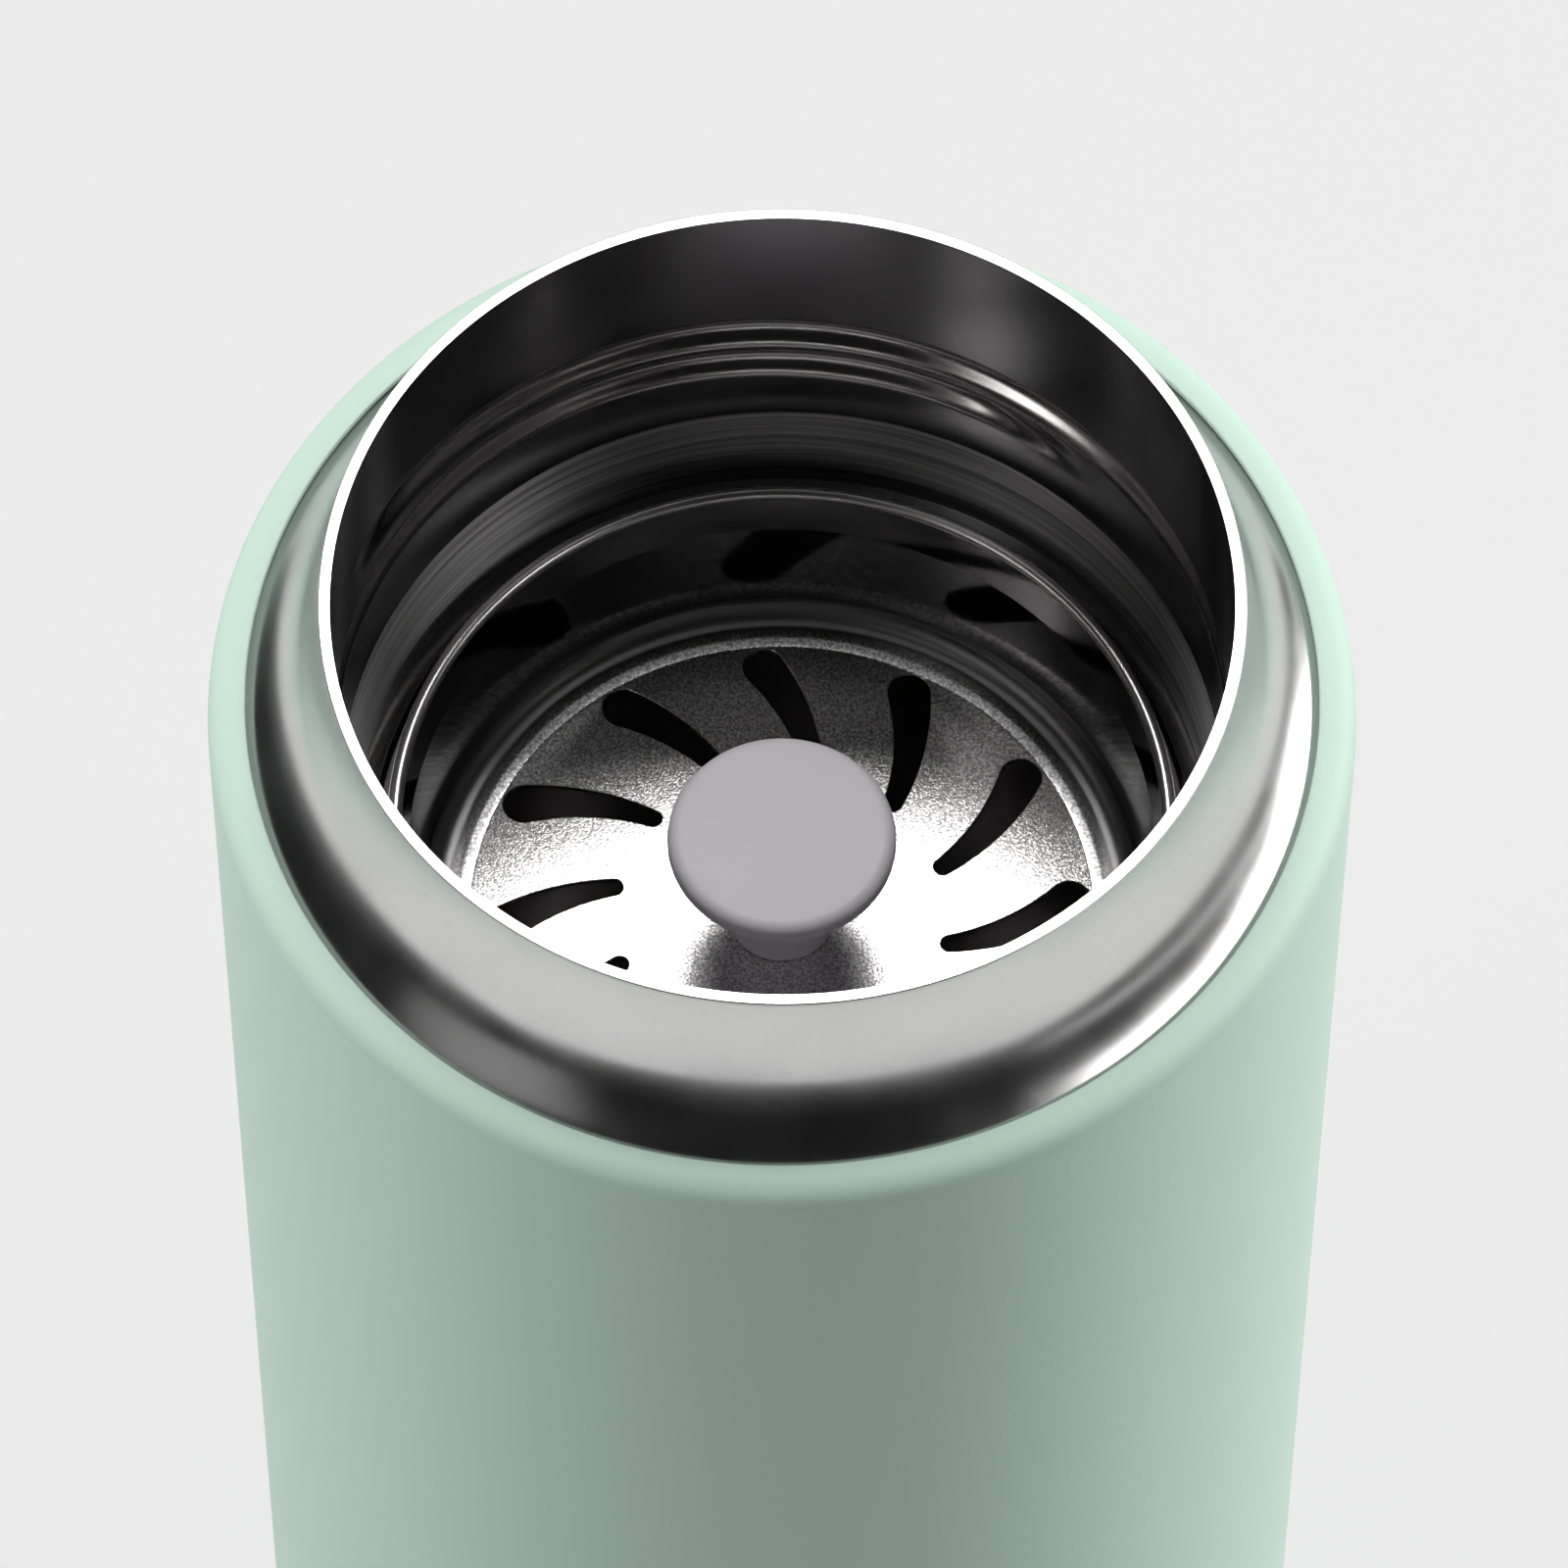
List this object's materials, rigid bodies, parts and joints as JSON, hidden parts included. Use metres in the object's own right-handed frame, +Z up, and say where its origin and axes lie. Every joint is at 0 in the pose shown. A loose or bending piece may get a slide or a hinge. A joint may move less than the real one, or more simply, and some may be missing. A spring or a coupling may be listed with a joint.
{
  "type": "travel mug",
  "caption": "Straight double-walled steel travel mug, lid off, with a flared bare neck, a threaded mouth and a slotted strainer that lifts out by a soft knob.",
  "frame": {"origin": "centre of the base pad's underside, on the mug's axis", "axes": "+Z up along the mug's axis, out of its mouth; the picture looks along +Y from above"},
  "size_m": [0.075, 0.075, 0.165],
  "materials": {
    "powder_coat": "matte mint powder coat with a fine texture",
    "polished_steel": "satin polished stainless steel",
    "liner_steel": "satin stainless steel with a turned band",
    "strainer_steel": "polished wall and fine-grained bright floor",
    "plain_steel": "plain drawn stainless steel",
    "copper_foil": "bright copper foil",
    "seal_glass": "fused sealing glass",
    "getter_metal": "pressed dark metal powder",
    "grey_silicone": "soft matte grey silicone"
  },
  "bodies": {
    "mug": {"outer_shell": "powder_coat", "neck_collar": "polished_steel", "inner_liner": "liner_steel", "liner_base": "liner_steel", "heat_shield_foil": "copper_foil", "shell_bottom": "plain_steel", "vacuum_seal": "seal_glass", "getter_holder": "plain_steel", "getter": "getter_metal", "base_cover": "plain_steel", "base_pad": "grey_silicone"},
    "seal_ring": {"strainer_seal": "grey_silicone"},
    "strainer": {"strainer_basket": "strainer_steel", "knob": "grey_silicone", "knob_rivet": "plain_steel", "rivet_washer": "plain_steel"}
  },
  "joints": [
    {"name": "strainer_lift", "type": "slide", "parent": "mug", "child": "seal_ring", "axis": [0, 0, 1], "range_m": [0, 0.06]},
    {"name": "strainer_turn", "type": "hinge", "parent": "seal_ring", "child": "strainer", "pos_m": [0, 0, 0.129], "axis": [0, 0, 1], "continuous": true}
  ]
}
